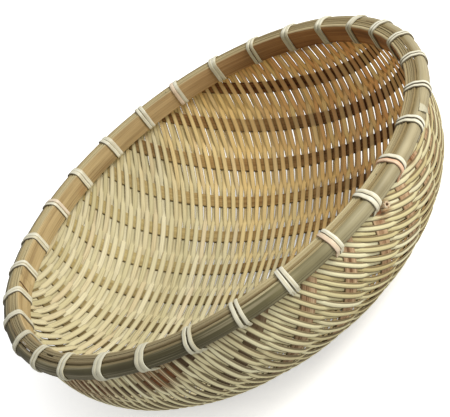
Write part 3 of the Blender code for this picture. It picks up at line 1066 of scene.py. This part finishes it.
def grainPaint(name, shine, grainScale, stops, dullness, bump):
    paint = Paint(name, Specular_IOR_Level=shine)
    x, y, z = paint.place()
    grain = paint.speckle(x * grainScale, y * grainScale, z * grainScale, detail=3.0)
    paint.finish(paint.ramp(grain, stops), dullness + 0.2 * grain, grain, bump, 0.3 * mm)
    return paint


def canePaint():
    stops = [(0.36, (0.38, 0.22, 0.11)), (0.46, (0.58, 0.45, 0.29)), (0.60, (0.74, 0.64, 0.47))]
    return grainPaint("cane_end", 0.2, 900, stops, 0.5, 0.4)


def pithPaint():
    stops = [(0.38, (0.025, 0.010, 0.004)), (0.62, (0.12, 0.055, 0.022))]
    return grainPaint("cane_pith", 0.1, 1500, stops, 0.7, 0.5)


def makeCaneEnd():
    deselectAll()
    turn = math.radians(caneEnd["degrees"])
    lean = math.pi / 2 - math.radians(caneEnd["tilt"])
    place = (caneEnd["radius"] * math.cos(turn), caneEnd["radius"] * math.sin(turn), caneEnd["height"])
    bpy.ops.mesh.primitive_torus_add(major_radius=caneEnd["ringRadius"], minor_radius=caneEnd["lipRadius"],
                                     major_segments=28, minor_segments=14)
    ring = bpy.context.object
    ring.name = "cane_end"
    ring.scale = (1, 1, caneEnd["stretch"])
    bpy.ops.object.transform_apply(location=False, rotation=False, scale=True)
    bpy.ops.object.shade_smooth()
    ring.data.materials.append(canePaint().material)
    bpy.ops.mesh.primitive_cylinder_add(vertices=24, radius=caneEnd["pithRadius"], depth=caneEnd["pithDepth"])
    pith = bpy.context.object
    pith.name = "cane_pith"
    pith.data.materials.append(pithPaint().material)
    for piece in (ring, pith):
        deselectAll()
        piece.select_set(True)
        bpy.context.view_layer.objects.active = piece
        piece.rotation_euler = (0, lean, turn)
        piece.location = place
        bpy.ops.object.transform_apply(location=True, rotation=True, scale=False)
        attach(piece, "root")


makeCaneEnd()
print("cane end set")


# Floor, light and camera
studio = {
    "floorSize": 8.0,
    "floorDrop": 0.2 * mm,
    "floorColor": (0.92, 0.92, 0.91),
    "bounceColor": (0.72, 0.72, 0.70),     # what the floor throws back at the object
    "floorGlow": 0.66,
    # the floor behind and under the bowl glows less, out to these distances from its middle
    "shadeGlow": 0.60,
    "shadeMiddle": (0.065, 0.063),
    "glowStart": 0.135,
    "glowFull": 0.20,
    "worldColor": (1.0, 0.995, 0.985),
    "worldLight": 0.52,
    "keyPower": 31.5,
    "keySize": 0.7,
    "keyPlace": (0.32, -1.51, 1.15),
    "keyColor": (1.0, 0.985, 0.95),
    "aim": (0.0, 0.0, 0.05),
}
photoCamera = {
    "location": (-0.54423, -0.52517, 0.47051),
    "turn": (0.97962, 0.57331, -1.15217),
    "lens": 113.567,
    "sensor": 36,
}


def floorPaint():
    paint = Paint("floor_paper", Roughness=0.9, Specular_IOR_Level=0.1)
    seen = paint.node("LightPath", {}, {}, "Is Camera Ray")
    color = paint.mix(seen, studio["bounceColor"], studio["floorColor"])
    paint.feed(paint.shader.inputs["Base Color"], color)
    x, y, z = paint.place()
    aside = x - studio["shadeMiddle"][0]
    ahead = y - studio["shadeMiddle"][1]
    openFloor = ((aside * aside + ahead * ahead) ** 0.5).between(studio["glowStart"], studio["glowFull"])
    glow = seen * (openFloor * (1 - studio["shadeGlow"]) + studio["shadeGlow"])
    paint.feed(paint.shader.inputs["Emission Color"], paint.mix(glow, (0.0, 0.0, 0.0), (1.0, 1.0, 1.0)))
    paint.feed(paint.shader.inputs["Emission Strength"], studio["floorGlow"])
    return paint


def makeWorld():
    world = bpy.data.worlds.new("studio")
    bpy.context.scene.world = world
    world.use_nodes = True
    tree = world.node_tree
    back = tree.nodes["Background"]
    back.inputs["Color"].default_value = (*studio["worldColor"], 1)
    # the camera sees it white
    path = tree.nodes.new("ShaderNodeLightPath")
    pick = tree.nodes.new("ShaderNodeMix")
    tree.links.new(path.outputs["Is Camera Ray"], pick.inputs[0])
    pick.inputs[2].default_value = studio["worldLight"]
    pick.inputs[3].default_value = 1.0
    tree.links.new(pick.outputs[0], back.inputs["Strength"])


def makeStudio():
    deselectAll()
    bpy.ops.mesh.primitive_plane_add(size=studio["floorSize"], location=(0, 0, -studio["floorDrop"]))
    floor = bpy.context.object
    floor.name = "floor"
    floor.data.materials.append(floorPaint().material)
    makeWorld()
    bpy.ops.object.light_add(type="AREA", location=studio["keyPlace"])
    key = bpy.context.object
    key.data.size = studio["keySize"]
    key.data.energy = studio["keyPower"]
    key.data.color = studio["keyColor"]
    toward = [a - b for a, b in zip(studio["aim"], studio["keyPlace"])]
    flat = math.hypot(toward[0], toward[1])
    key.rotation_euler = (math.atan2(flat, -toward[2]), 0, math.atan2(toward[1], toward[0]) - math.pi / 2)
    bpy.ops.object.camera_add(location=photoCamera["location"], rotation=photoCamera["turn"])
    camera = bpy.context.object
    camera.data.lens = photoCamera["lens"]
    camera.data.sensor_width = photoCamera["sensor"]
    bpy.context.scene.camera = camera
    bpy.context.scene.view_settings.view_transform = "Standard"


makeStudio()
print("studio set")
